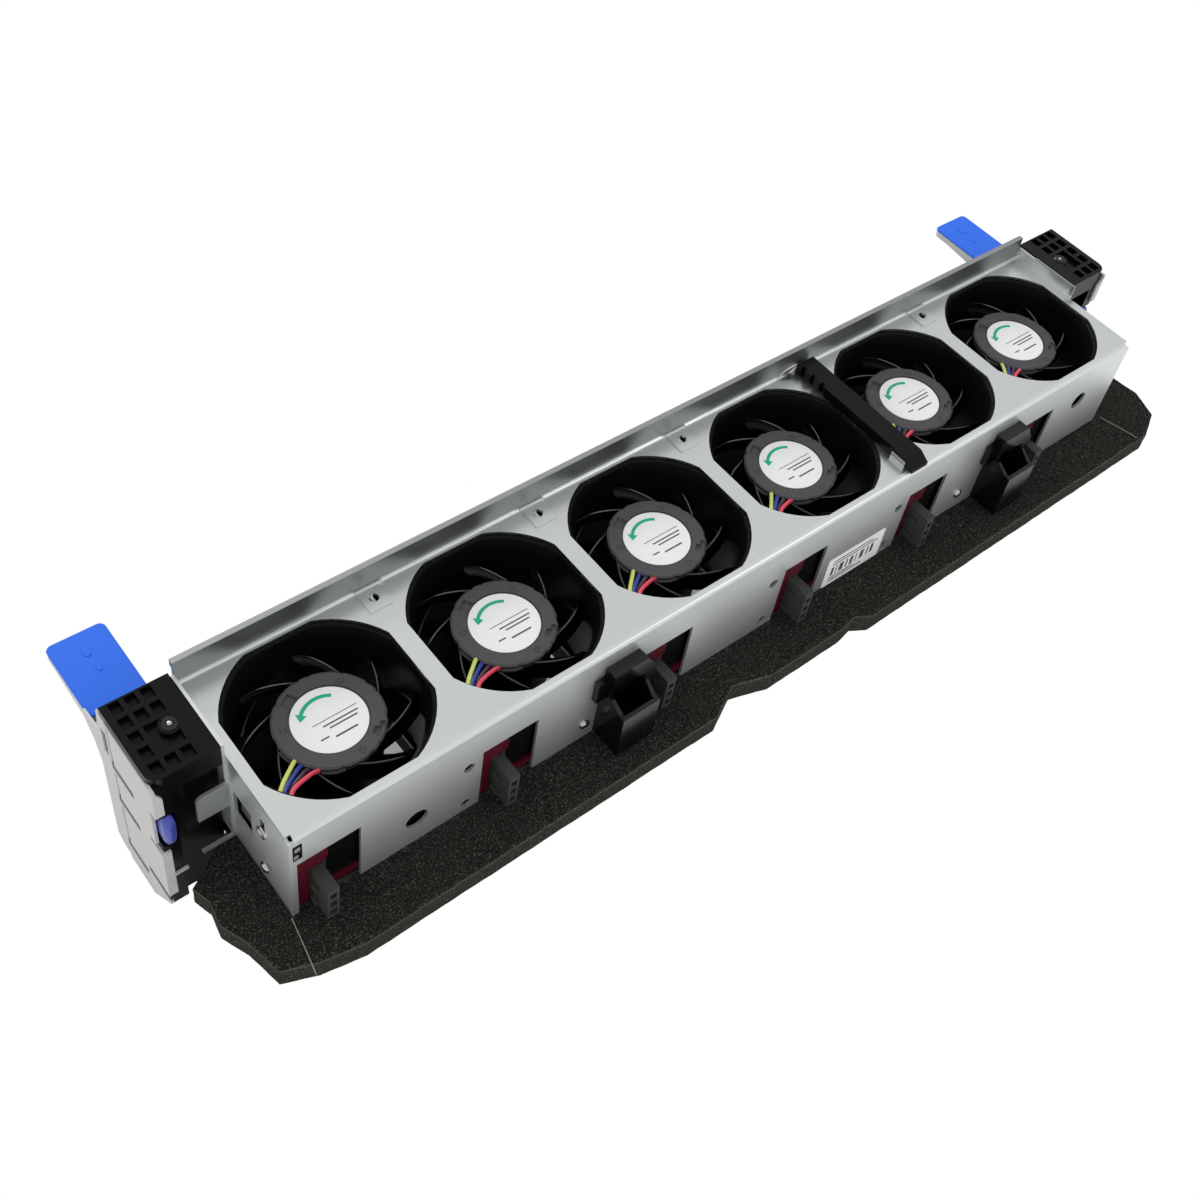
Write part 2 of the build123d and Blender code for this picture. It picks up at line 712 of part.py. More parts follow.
def make_lever_cap(side):
    """Blue touch plate over the lever's paddle."""
    wide0, wide1 = block_inner + 1.4, block_outer - 0.3
    start = pivot_y + ear_radius + 1.2
    bottom = pivot_z + lever_rise
    plan = Pos((wide0 + wide1) / 2, (start + lever_tip) / 2, bottom)
    shape = Rectangle(wide1 - wide0, lever_tip - start)
    ends = shape.vertices().group_by(Axis.Y)[-1]
    body = extrude(plan * fillet(ends, lever_radius), amount=cap_thick)
    return handed(body, side)


def make_button(side):
    """Release button with a rounded nose, in the near edge of a latch block."""
    x0, x1, z0, z1 = button_place()
    radius = (x1 - x0) / 2 - 0.1
    face = fillet(Rectangle(x1 - x0, z1 - z0).vertices(), radius)
    place = Plane(origin=((x0 + x1) / 2, block_near + 8.0, (z0 + z1) / 2), x_dir=(1, 0, 0), z_dir=(0, -1, 0))
    body = extrude(place * face, amount=8.0 + button_stand)
    return handed(body, side)


def make_pins():
    """The two lever pins."""
    length = block_outer - 0.1 - block_inner
    middle = (block_outer - 0.1 + block_inner) / 2
    pins = [Pos(side * middle, pivot_y, pivot_z) * Rot(0, 90, 0) * Cylinder(pin_radius, length) for side in (-1, 1)]
    return Compound(children=pins)


def build_nodes():
    """Every sub-part under its own name."""
    nodes = {
        "outlet_sheet": make_outlet_sheet(),
        "near_wall": make_near_wall(),
        "inlet_sheet": make_inlet_sheet(),
        "divider_clip": make_divider_clip(),
        "foam_seal": make_foam(),
        "lever_pins": make_pins(),
        "guide_bracket_left": make_guide_bracket(3),
        "guide_bracket_right": make_guide_bracket(6),
    }
    for number in range(1, fan_count):
        nodes[f"divider_{number}"] = make_divider(number)
    for name, side in (("left", -1), ("right", 1)):
        nodes[f"end_wall_{name}"] = make_end_wall(side)
        nodes[f"end_bracket_{name}"] = make_end_bracket(side)
        nodes[f"latch_housing_{name}"] = make_latch_housing(side)
        nodes[f"latch_cover_{name}"] = make_cover(side)
        nodes[f"side_panel_{name}"] = make_side_panel(side)
        nodes[f"lever_{name}"] = make_lever(side)
        nodes[f"lever_cap_{name}"] = make_lever_cap(side)
        nodes[f"release_button_{name}"] = make_button(side)
    fan_pieces = {
        "frame": make_fan_frame(),
        "rotor": make_rotor(),
        "carrier": make_carrier(),
        "plug": make_plug(),
        "leads": make_leads(),
    }
    for number in range(1, fan_count + 1):
        for name, piece in fan_pieces.items():
            nodes[f"fan_{number}_{name}"] = Pos(fan_x(number), 0, 0) * piece
    return nodes


os.makedirs("parts", exist_ok=True)
nodes = build_nodes()
boxes = [solid.bounding_box() for solid in nodes.values()]
plan_x = (min(box.min.X for box in boxes) + max(box.max.X for box in boxes)) / 2
plan_y = (min(box.min.Y for box in boxes) + max(box.max.Y for box in boxes)) / 2
lowest = min(box.min.Z for box in boxes)
for node, solid in nodes.items():
    export_step(Pos(-plan_x, -plan_y, -lowest) * solid, f"parts/{node}.step")
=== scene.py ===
import math
import bpy
import numpy as np
from mathutils import Matrix, Vector
from mathutils.geometry import delaunay_2d_cdt


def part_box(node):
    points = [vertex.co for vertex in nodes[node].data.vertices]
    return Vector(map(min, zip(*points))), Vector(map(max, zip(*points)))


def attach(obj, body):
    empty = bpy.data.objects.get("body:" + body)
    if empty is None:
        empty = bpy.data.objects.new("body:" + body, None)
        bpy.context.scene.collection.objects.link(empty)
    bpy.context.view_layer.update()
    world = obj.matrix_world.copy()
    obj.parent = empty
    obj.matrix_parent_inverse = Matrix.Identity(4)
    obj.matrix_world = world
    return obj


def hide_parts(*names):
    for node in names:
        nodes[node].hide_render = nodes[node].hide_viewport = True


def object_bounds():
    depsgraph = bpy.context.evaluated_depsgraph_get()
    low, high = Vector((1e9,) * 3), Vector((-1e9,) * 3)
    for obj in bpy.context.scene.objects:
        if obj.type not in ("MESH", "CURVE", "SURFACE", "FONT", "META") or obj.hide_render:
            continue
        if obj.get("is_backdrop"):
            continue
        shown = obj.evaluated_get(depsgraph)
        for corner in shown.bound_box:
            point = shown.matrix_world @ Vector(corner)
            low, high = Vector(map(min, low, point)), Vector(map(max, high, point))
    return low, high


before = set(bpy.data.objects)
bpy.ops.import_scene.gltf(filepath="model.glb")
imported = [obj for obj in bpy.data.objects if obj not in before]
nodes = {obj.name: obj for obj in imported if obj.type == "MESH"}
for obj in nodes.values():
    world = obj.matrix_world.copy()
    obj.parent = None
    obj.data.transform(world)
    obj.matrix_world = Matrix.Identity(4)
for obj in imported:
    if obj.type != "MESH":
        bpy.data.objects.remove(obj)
scene = bpy.context.scene
scene.view_settings.view_transform = "Standard"

# Middle of the row of fans in the frame, on the plane of the latch blocks' undersides. New pieces
# are drawn from it in millimetres: X along the row, Y from the plugs to the far side, Z up.
first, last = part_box("fan_1_frame")[0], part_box("fan_6_frame")[1]
row_middle = np.array([(first.x + last.x) / 2, (first.y + last.y) / 2, 0.0])

# Camera: a raised three-quarter view over the near left corner, a little rolled, with the
# picture's centre shifted off the lens axis.
azimuth, elevation, roll = np.radians([-48.53, 46.56, 11.88])
distance = 0.6015
aim = row_middle + np.array([0.0166, 0.0543, 0.021])
back = np.array([math.sin(azimuth) * math.cos(elevation), -math.cos(azimuth) * math.cos(elevation),
                 math.sin(elevation)])
place = aim + distance * back
level = np.cross(-back, [0, 0, 1])
level /= np.linalg.norm(level)
upright = np.cross(level, -back)
across = math.cos(roll) * level + math.sin(roll) * upright
up = -math.sin(roll) * level + math.cos(roll) * upright
camera = bpy.data.objects.new("camera", bpy.data.cameras.new("camera"))
scene.collection.objects.link(camera)
camera.matrix_world = Matrix([[across[k], up[k], back[k], place[k]] for k in range(3)] + [[0, 0, 0, 1]])
camera.data.sensor_width = 36.0
camera.data.lens = 45.04
camera.data.shift_x = -0.0385
camera.data.shift_y = -0.105
camera.data.clip_start = 0.01
camera.data.clip_end = 20.0
camera.data.dof.use_dof = False
scene.camera = camera


# Floor: a white sweep. Seen directly it is plain white, but under the cage, in reflections and for
# the light that it gives back it is a matte light grey sheet.
def node_tree(material):
    """A material's cleared node tree and its output."""
    material.use_nodes = True
    tree = material.node_tree
    tree.nodes.clear()
    return tree, tree.nodes.new("ShaderNodeOutputMaterial")


def object_place(tree):
    """The X, Y and Z of a point in Object coordinates, as three outputs."""
    spot = tree.nodes.new("ShaderNodeTexCoord")
    split = tree.nodes.new("ShaderNodeSeparateXYZ")
    tree.links.new(spot.outputs["Object"], split.inputs[0])
    return split.outputs


def worked(tree, operation, *values):
    """The output of one math node, whose inputs are numbers or the outputs of other nodes."""
    node = tree.nodes.new("ShaderNodeMath")
    node.operation = operation
    for slot, value in enumerate(values):
        if isinstance(value, float):
            node.inputs[slot].default_value = value
        else:
            tree.links.new(value, node.inputs[slot])
    return node.outputs[0]


def mapped(tree, value, low, high, to_low=0.0, to_high=1.0):
    """A value carried over in a straight line, from low and high to two others, and held beyond them."""
    ramp = tree.nodes.new("ShaderNodeMapRange")
    for name, number in (("From Min", low), ("From Max", high), ("To Min", to_low), ("To Max", to_high)):
        ramp.inputs[name].default_value = number
    tree.links.new(value, ramp.inputs["Value"])
    return ramp.outputs[0]


def make_floor_material(half_long, half_wide, fade):
    """A white glow for camera rays outside an oblong round the row's middle, and else a matte sheet."""
    material = bpy.data.materials.new("sweep")
    tree, output = node_tree(material)
    glow = tree.nodes.new("ShaderNodeEmission")
    glow.inputs["Color"].default_value = (1, 1, 1, 1)
    matte = tree.nodes.new("ShaderNodeBsdfDiffuse")
    matte.inputs["Color"].default_value = (0.88, 0.88, 0.88, 1)
    spot = object_place(tree)
    along = worked(tree, "ABSOLUTE", worked(tree, "SUBTRACT", spot[0], row_middle[0]))
    beside = worked(tree, "ABSOLUTE", worked(tree, "SUBTRACT", spot[1], row_middle[1]))
    outside = worked(tree, "MAXIMUM", mapped(tree, along, half_long, half_long + fade),
                     mapped(tree, beside, half_wide, half_wide + fade))
    rays = tree.nodes.new("ShaderNodeLightPath")
    mix = tree.nodes.new("ShaderNodeMixShader")
    tree.links.new(worked(tree, "MULTIPLY", outside, rays.outputs["Is Camera Ray"]), mix.inputs["Fac"])
    tree.links.new(matte.outputs[0], mix.inputs[1])
    tree.links.new(glow.outputs[0], mix.inputs[2])
    tree.links.new(mix.outputs[0], output.inputs["Surface"])
    return material


floor_half, floor_height = 3.0, -0.0005
floor_corners = [(a * floor_half, b * floor_half, floor_height)
                 for a, b in ((-1, -1), (1, -1), (1, 1), (-1, 1))]
floor_mesh = bpy.data.meshes.new("floor")
floor_mesh.from_pydata(floor_corners, [], [(0, 1, 2, 3)])
floor = bpy.data.objects.new("floor", floor_mesh)
scene.collection.objects.link(floor)
floor_mesh.materials.append(make_floor_material(half_long=0.185, half_wide=0.028, fade=0.01))
floor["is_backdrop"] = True


# Light: white all round, a little weaker in what shiny faces mirror, with a large soft lamp behind
# the cage and a small one before it.
def make_surroundings(open_light, mirrored_light):
    """A white world with one strength for light that falls on the object and one for glossy rays."""
    studio = bpy.data.worlds.new("studio")
    studio.use_nodes = True
    tree = studio.node_tree
    glow = tree.nodes["Background"]
    glow.inputs["Color"].default_value = (1, 1, 1, 1)
    rays = tree.nodes.new("ShaderNodeLightPath")
    strength = mapped(tree, rays.outputs["Is Glossy Ray"], 0.0, 1.0, open_light, mirrored_light)
    tree.links.new(strength, glow.inputs["Strength"])
    return studio


def add_softbox(name, where, size, power):
    """A square area light at a place beside the row's middle, turned to a point just above it."""
    light = bpy.data.lights.new(name, "AREA")
    light.shape = "SQUARE"
    light.size = size
    light.energy = power
    lamp = bpy.data.objects.new(name, light)
    scene.collection.objects.link(lamp)
    lamp.location = Vector(where) + Vector(row_middle)
    lamp.rotation_euler = (Vector((0, 0, 0.03)) - Vector(where)).to_track_quat("-Z", "Y").to_euler()
    lamp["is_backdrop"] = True


scene.world = make_surroundings(open_light=0.92, mirrored_light=0.72)
add_softbox("softbox_far", (0.1, 1.5, 0.9), size=0.5, power=7)
add_softbox("softbox_near", (0.9, -1.3, 0.75), size=0.3, power=1.6)


# Cage sheets: zinc-plated steel, stamped and folded. The outlet sheet on top has six openings and a
# turned-up flange that is duller than the flat and painted darker, as painted shade for its dimmer
# reflection; the inlet sheet lies under the fans, and five dividers stand between them.
def make_finish(name, colour, roughness, metallic=0.0, grain=0.0, grain_scale=2500.0, vary=0.0,
                stretch=(1, 1, 1), shine=0.5):
    """A principled surface; slow noise scales its colour by one plus or minus vary, fine noise tilts it."""
    material = bpy.data.materials.new(name)
    tree, output = node_tree(material)
    shader = tree.nodes.new("ShaderNodeBsdfPrincipled")
    shader.inputs["Base Color"].default_value = (*colour, 1)
    shader.inputs["Roughness"].default_value = roughness
    shader.inputs["Metallic"].default_value = metallic
    shader.inputs["Specular IOR Level"].default_value = shine
    tree.links.new(shader.outputs[0], output.inputs["Surface"])
    where = tree.nodes.new("ShaderNodeTexCoord")
    mapping = tree.nodes.new("ShaderNodeMapping")
    mapping.inputs["Scale"].default_value = stretch
    tree.links.new(where.outputs["Object"], mapping.inputs["Vector"])
    if vary:
        slow = tree.nodes.new("ShaderNodeTexNoise")
        slow.inputs["Scale"].default_value = 60.0
        slow.inputs["Detail"].default_value = 3.0
        tree.links.new(mapping.outputs[0], slow.inputs["Vector"])
        tint = tree.nodes.new("ShaderNodeVectorMath")
        tint.operation = "SCALE"
        tint.inputs[0].default_value = colour
        change = mapped(tree, slow.outputs["Fac"], 0.0, 1.0, 1 - vary, 1 + vary)
        tree.links.new(change, tint.inputs["Scale"])
        tree.links.new(tint.outputs[0], shader.inputs["Base Color"])
    if grain:
        fine = tree.nodes.new("ShaderNodeTexNoise")
        fine.inputs["Scale"].default_value = grain_scale
        fine.inputs["Detail"].default_value = 2.0
        tree.links.new(mapping.outputs[0], fine.inputs["Vector"])
        bump = tree.nodes.new("ShaderNodeBump")
        bump.inputs["Strength"].default_value = grain
        bump.inputs["Distance"].default_value = 0.0002
        tree.links.new(fine.outputs["Fac"], bump.inputs["Height"])
        tree.links.new(bump.outputs[0], shader.inputs["Normal"])
    return material


def principled(tree):
    """The tree's principled shader."""
    return next(node for node in tree.nodes if node.type == "BSDF_PRINCIPLED")


def tint_where(material, share, colour):
    """The base colour gives way to another where the share is one."""
    tree = material.node_tree
    base = principled(tree).inputs["Base Color"]
    mix = tree.nodes.new("ShaderNodeMix")
    mix.data_type = "RGBA"
    mix.inputs["A"].default_value = base.default_value
    if base.is_linked:
        tree.links.new(base.links[0].from_socket, mix.inputs["A"])
    mix.inputs["B"].default_value = (*colour, 1)
    tree.links.new(share, mix.inputs["Factor"])
    tree.links.new(mix.outputs["Result"], base)


def tint_above(material, height, colour):
    """Above a height the base colour gives way to another."""
    tree = material.node_tree
    tint_where(material, worked(tree, "GREATER_THAN", object_place(tree)[2], height), colour)


def soften(thing, width, least_degrees):
    """A bevel of a width in metres along edges that turn by more than an angle."""
    bevel = thing.modifiers.new("edges", "BEVEL")
    bevel.width = width
    bevel.segments = 2
    bevel.limit_method = "ANGLE"
    bevel.angle_limit = math.radians(least_degrees)


def dress(name, material, edge):
    """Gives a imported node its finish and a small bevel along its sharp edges."""
    node = nodes[name]
    node.data.materials.clear()
    node.data.materials.append(material)
    if edge:
        soften(node, edge, 35)


zinc_colour, along_row = (0.74, 0.775, 0.765), (0.5, 1, 1)
zinc = make_finish("zinc_sheet", zinc_colour, 0.30, metallic=1.0, grain=0.10, grain_scale=420.0,
                   vary=0.05, stretch=along_row)
zinc_tree, flange_foot = zinc.node_tree, 0.0762
# Painted shade: above the flange's foot the steel is painted darker for the flange's dimmer reflection. It
# also darkens the upper parts of the clip tab and the end plate, which share this finish.
tint_above(zinc, flange_foot, (0.38, 0.40, 0.395))
duller = mapped(zinc_tree, object_place(zinc_tree)[2], flange_foot, flange_foot + 0.0004, 0.30, 0.42)
zinc_tree.links.new(duller, principled(zinc_tree).inputs["Roughness"])
for name in ("outlet_sheet", "inlet_sheet", *(f"divider_{number}" for number in range(1, 6))):
    dress(name, zinc, 0.00015)


# Upright sheets: the near wall with its six connector windows, the two end walls and the end
# brackets, stamped from the same steel, folded down and riveted together. They look duller.
wall_zinc = make_finish("zinc_wall", zinc_colour, 0.36, metallic=0.79, grain=0.10, grain_scale=420.0,
                        vary=0.05, stretch=along_row)
for name in ("near_wall", "end_wall_left", "end_wall_right", "end_bracket_left", "end_bracket_right"):
    dress(name, wall_zinc, 0.00015)


# Pad lips: beside the flange at each screw pad a short bright lip, cut from the sheet and bent up,
# stands just above the outlet sheet.
def grid_faces(rows, cols, close_rows=False, close_cols=False):
    """Quads between neighbouring points of a grid; each way can close on itself."""
    i = np.arange(rows if close_rows else rows - 1)[:, None]
    j = np.arange(cols if close_cols else cols - 1)[None, :]
    here, right = i * cols + j, i * cols + (j + 1) % cols
    below, corner = (i + 1) % rows * cols + j, (i + 1) % rows * cols + (j + 1) % cols
    return np.stack([here, right, corner, below], -1).reshape(-1, 4)


def add_piece(name, piece, material, body, sharp=35.0, edge=0.0):
    """A mesh of a piece's points, in millimetres from the row's middle, and faces, riding on a body.

    Edges that turn by less than the sharp angle are shaded smooth, and edge is a small bevel's width.
    """
    points, faces = piece
    places = np.asarray(points).reshape(-1, 3) * 0.001 + row_middle
    mesh = bpy.data.meshes.new(name)
    mesh.from_pydata(places.tolist(), [], [list(face) for face in faces])
    mesh.validate()
    mesh.update()
    work = bpy.data.objects.new(name, mesh)
    scene.collection.objects.link(work)
    mesh.materials.append(material)
    mesh.polygons.foreach_set("use_smooth", np.ones(len(mesh.polygons), bool))
    mesh.set_sharp_from_angle(angle=math.radians(sharp))
    if edge:
        soften(work, edge * 0.001, 40)
    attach(work, body)
    return work


def slab(outline, low, high):
    """A flat piece with that outline, between two heights."""
    count = len(outline)
    flat = np.array(outline, float)
    points = np.concatenate([np.column_stack([flat, np.full(count, z)]) for z in (low, high)])
    sides = grid_faces(2, count, close_cols=True)
    return points, [list(range(count))[::-1], list(range(count, 2 * count)), *sides.tolist()]


def rounded(x0, y0, x1, y1, radius, steps=6):
    """A rectangle's outline with each corner a quarter circle."""
    a = np.linspace(0, np.pi / 2, steps)
    middles = ((x1 - radius, y1 - radius, 0), (x0 + radius, y1 - radius, np.pi / 2),
               (x0 + radius, y0 + radius, np.pi), (x1 - radius, y0 + radius, 1.5 * np.pi))
    return np.concatenate([np.column_stack([x + radius * np.cos(a + t), y + radius * np.sin(a + t)])
                           for x, y, t in middles])


def joined(parts):
    """Several pieces as one: points in a row, and face numbers moved on by the count of points before."""
    sizes = [0] + np.cumsum([len(np.reshape(p, (-1, 3))) for p, _ in parts]).tolist()
    points = np.concatenate([np.reshape(p, (-1, 3)) for p, _ in parts])
    return points, [[i + start for i in face] for (_, faces), start in zip(parts, sizes) for face in faces]


sheet_top = 75.0
lip_half, lip_near, lip_far = 5.0, 30.2, 31.1
lip_outlines = [rounded(x - lip_half, lip_near, x + lip_half, lip_far, 0.3, 3)
                for x in (-129.2, -64.4, 0.4, 65.2, 130.4)]
lip_slabs = joined([slab(outline, sheet_top - 0.1, sheet_top + 1.1) for outline in lip_outlines])
pad_lips = add_piece("pad_lips", lip_slabs, wall_zinc, "cage", edge=0.15)


# Sticker: a bare white paper label glued on the near wall, with ruled lines and plain stripes in
# dark ink.
def facing(way, part, across=0.0, height=0.0, out=0.0):
    """A part drawn in (across, up, outwards), moved by its offsets and stood up to face a side."""
    points, faces = part
    a, b, c = (np.reshape(points, (-1, 3)) + (across, height, out)).T
    stood = {"near": (a, -c, b), "left": (-c, -a, b), "right": (c, a, b)}[way]
    return np.stack(stood, -1), faces


def oblong(x0, y0, x1, y1):
    """A rectangle's four corners."""
    return [(x0, y0), (x1, y0), (x1, y1), (x0, y1)]


wall_face = 32.2
paper = make_finish("label_paper", (0.86, 0.87, 0.86), 0.55, shine=0.2)
ink_grey = make_finish("label_grey", (0.10, 0.10, 0.10), 0.55, shine=0.2)
sticker = slab(rounded(28.0, 30.9, 58.5, 47.0, 0.8), wall_face - 0.02, wall_face + 0.10)
add_piece("wall_sticker", facing("near", sticker), paper, "cage")
ink_low, ink_high = wall_face + 0.09, wall_face + 0.13
rule_height, stripe_low, stripe_high = 0.7, 36.4, 41.2
rules = [slab(oblong(x0, z, x1, z + rule_height), ink_low, ink_high)
         for x0, x1, z in ((31, 52, 44.2), (31, 55, 42.4), (31, 44, 34.6), (31, 49, 32.9))]
stripes = [slab(oblong(x, stripe_low, x + wide, stripe_high), ink_low, ink_high)
           for x, wide in ((31.0, 1.4), (33.6, 0.6), (35.4, 2.2), (39.0, 0.8), (41.2, 1.6),
                           (44.2, 0.6), (46.6, 2.0), (50.2, 0.8), (52.2, 1.6))]
add_piece("wall_sticker_rules", facing("near", joined(rules + stripes)), ink_grey, "cage")


# Rivets and nut: bright steel. Two domed heads are pressed into the near wall and one into the left
# end wall, where a nut sits in the square hole.
def around(radius, angle, height):
    """Points at a radius, an angle and a height about the Z axis."""
    return np.stack(np.broadcast_arrays(radius * np.cos(angle), radius * np.sin(angle), height), -1)


def skinned(rings):
    """Closed rings of points with the faces between them."""
    return rings, grid_faces(*rings.shape[:2], close_cols=True).tolist()


def lathed(profile, count=48):
    """A profile of radius and height carried round the Z axis."""
    angle = np.linspace(0, 2 * np.pi, count, endpoint=False)
    radius, height = np.array(profile, float).T[:, :, None]
    return skinned(around(radius, angle, height))


steel_pin = make_finish("bright_pin", (0.55, 0.55, 0.54), 0.25, metallic=1.0)
rivet = lathed([(0.0, -0.2), (2.1, -0.2), (2.1, 0.1), (1.8, 0.6), (1.2, 0.95), (0.5, 1.1), (0.0, 1.12)])
for number, (x, z) in enumerate(((-86.0, 38.9), (102.4, 39.6)), 1):
    head = facing("near", rivet, x, z, wall_face)
    head = add_piece(f"wall_rivet_{number}", head, steel_pin, "cage", sharp=50)
end_face = 195.5
end_rivet = facing("left", rivet, 17.2, 38.3, end_face)
end_rivet = add_piece("end_rivet", end_rivet, steel_pin, "cage", sharp=50)
nut = lathed([(0.0, -0.3), (2.3, -0.3), (2.5, 0.0), (2.4, 0.5), (1.5, 0.6), (1.3, 0.0), (0.0, 0.0)], 24)
nut = add_piece("end_nut", facing("left", nut, 16.9, 58.7, end_face), steel_pin, "cage")


# Corner mark: two bright lips of bent sheet in the near wall's left corner, on a flat dark slab that
# is painted shade for the stamped cut under them. The slab has the rotors' matt black.
jet = (0.003, 0.003, 0.0034)
matt_black = make_finish("fan_moulding", jet, 0.40, shine=0.06)
# The flat dark slab is painted shade for the stamped cut round the lips.
mark = slab(rounded(-194.3, 62.6, -191.3, 70.6, 0.4), wall_face - 0.02, wall_face + 0.05)
add_piece("wall_mark", facing("near", mark), matt_black, "cage")
mark_lips = joined([slab(rounded(*box, 0.3), wall_face, wall_face + 0.3)
                    for box in ((-193.7, 67.4, -192.0, 69.4), (-194.0, 63.6, -192.6, 65.6))])
mark_lips = add_piece("wall_mark_lips", facing("near", mark_lips), steel_pin, "cage", edge=0.1)


# End plate: a short upright strip of the cage's sheet, folded up behind the inner edge of the right
# latch cover.
end_plate = slab(oblong(0.6, 74.2, 22.2, 81.0), end_face + 0.1, end_face + 1.0)
end_plate = add_piece("end_plate_right", facing("right", end_plate), zinc, "cage", edge=0.2)


# Divider clip: a black moulded strip pushed over the web between the fourth and fifth opening. A
# bright sheet tab shows at its near end and a bent wire hook at its far end.
def smooth_path(points, count=60):
    """A curve through the points whose slope at each is half the step between its neighbours."""
    p = np.array(points, float)
    p = np.concatenate([[2 * p[0] - p[1]], p, [2 * p[-1] - p[-2]]])
    spans = len(p) - 3
    t = np.linspace(0, spans, count)
    k = np.minimum(t.astype(int), spans - 1)
    f = (t - k)[:, None]
    a, b, c, d = p[k], p[k + 1], p[k + 2], p[k + 3]
    bend, twist = 2 * a - 5 * b + 4 * c - d, 3 * b - a - 3 * c + d
    return 0.5 * (2 * b + (c - a) * f + bend * f ** 2 + twist * f ** 3)


def capped(rings):
    """Closed rings of points with the faces between them and one over the first and the last ring."""
    rows, cols = rings.shape[:2]
    faces = grid_faces(rows, cols, close_cols=True).tolist()
    faces.append(list(range(cols))[::-1])
    faces.append(list(range((rows - 1) * cols, rows * cols)))
    return rings, faces


def wire(path, radius, corners=14):
    """A round wire: circles square to a path, each turned by the same slanting direction."""
    ahead = np.gradient(path, axis=0)
    ahead /= np.linalg.norm(ahead, axis=1, keepdims=True)
    side = np.cross(ahead, [0.45, -0.5, 0.1])
    side /= np.linalg.norm(side, axis=1, keepdims=True)
    over = np.cross(ahead, side)
    t = np.linspace(0, 2 * np.pi, corners, endpoint=False)[None, :, None]
    return capped(path[:, None] + radius * (np.cos(t) * side[:, None] + np.sin(t) * over[:, None]))


black = make_finish("black_moulding", jet, 0.26, grain=0.10, shine=0.16)
dress("divider_clip", black, 0.0003)
tab = slab(oblong(60.5, -28.5, 63.5, -21.6), sheet_top, sheet_top + 2.9)
tab = add_piece("clip_tab", tab, zinc, "cage", edge=0.3)
hook_path = smooth_path([(52.8, 31.0, 75.6), (55.0, 31.0, 77.4), (60.5, 30.8, 78.4), (61.5, 30.2, 78.0),
                         (57.0, 29.6, 77.2)], 40)
hook = add_piece("clip_hook", wire(hook_path, 0.55, 12), steel_pin, "cage", sharp=60)


# Guide brackets: two glossy black mouldings clipped on the near wall, each with a pocket open at
# the top.
gloss_black = make_finish("glossy_moulding", jet, 0.18, shine=0.40)
for side in ("left", "right"):
    dress(f"guide_bracket_{side}", gloss_black, 0.0005)


# Latch blocks: a black moulded housing at each end of the cage, with a ribbed cover held by one
# dark socket screw. A bright steel disc in the screw's socket is a painted glint.
screw_black = make_finish("screw_black", (0.05, 0.05, 0.05), 0.22, metallic=1.0)
screw_head = lathed([(0.0, 80.9), (2.4, 80.9), (2.4, 81.2), (2.0, 81.55), (1.2, 81.6), (1.0, 81.3),
                     (0.0, 81.3)])
# Painted glint: a bright steel disc on the dark screw, in its socket.
screw_glint_disc = lathed([(0.0, 81.2), (0.75, 81.2), (0.75, 81.5), (0.5, 81.62), (0.0, 81.66)])
boss_away, boss_far = 204.6, 16.28
for side, sign in (("left", -1), ("right", 1)):
    dress(f"latch_housing_{side}", black, 0.0003)
    dress(f"latch_cover_{side}", black, 0.0003)
    boss = (sign * boss_away, boss_far, 0)
    add_piece(f"cover_screw_{side}", (screw_head[0] + boss, screw_head[1]), screw_black, "cage")
    add_piece(f"cover_screw_socket_{side}", (screw_glint_disc[0] + boss, screw_glint_disc[1]), steel_pin, "cage")


# Side panels: light grey mouldings snapped on the latch blocks' outer sides. Black strips stand in
# their grip slots, just under the panel's face: the black of the housing behind, brought up as painted
# shade.
light_grey = make_finish("grey_moulding", (0.56, 0.56, 0.55), 0.45, grain=0.08, shine=0.3)
# Each strip is a dark sheet just under the panel's face, painted shade for its slot in the housing's black.
slot_shade_foot, slot_shade_face = 217.6, 218.62
slot_shade_boxes = [(15.4, 54.6, 28.2, 57.6), (15.4, 36.0, 28.2, 39.0), (15.4, 9.2, 28.2, 12.2),
             (0.8, 14.6, 13.5, 17.6)]
for side, sign in (("left", -1), ("right", 1)):
    dress(f"side_panel_{side}", light_grey, 0.0002)
    slot_shades = []
    for y0, z0, y1, z1 in slot_shade_boxes:
        start, end = sorted((sign * y0, sign * y1))
        slot_shades.append(slab(rounded(start, z0, end, z1, 0.3, 3), slot_shade_foot, slot_shade_face))
    slot_shades = add_piece(f"panel_slot_shades_{side}", facing(side, joined(slot_shades)), black, "cage")


# Levers: grey moulded arms on bright steel pins. A blue cap with small corner radii is moulded onto
# each arm, and two low marks stand on its top.
def local(name):
    """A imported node's box in millimetres from the row's middle."""
    return [1000 * (np.array(corner) - row_middle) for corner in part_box(name)]


blue = make_finish("blue_moulding", (0.022, 0.15, 0.83), 0.42, grain=0.06, shine=0.25)
dress("lever_pins", steel_pin, 0)
mark_shapes = [(207.6, 1.1, 65.0, 69.4, 0.9), (207.0, 0.8, 58.2, 61.2, 0.7)]
for side, sign in (("left", -1), ("right", 1)):
    dress(f"lever_{side}", light_grey, 0.0003)
    arm = f"lever_{side}_arm"
    low, high = local(f"lever_cap_{side}")
    cap = slab(rounded(low[0], low[1], high[0], high[1], 2.2), low[2], high[2])
    cap = add_piece(f"lever_cap_{side}_plate", cap, blue, arm, edge=0.45)
    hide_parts(f"lever_cap_{side}")
    marks = []
    for away, half, start, end, radius in mark_shapes:
        outline = rounded(sign * away - half, start, sign * away + half, end, radius)
        marks.append(slab(outline, high[2] - 0.1, high[2] + 0.25))
    marks = add_piece(f"lever_cap_{side}_marks", joined(marks), blue, arm, edge=0.15)


# Release buttons: domed oblong noses of darker blue plastic, sprung and guided in the latch
# housings.
def signed_power(value, power):
    """A value's size raised to a power, with its sign kept."""
    return np.sign(value) * np.abs(value) ** power


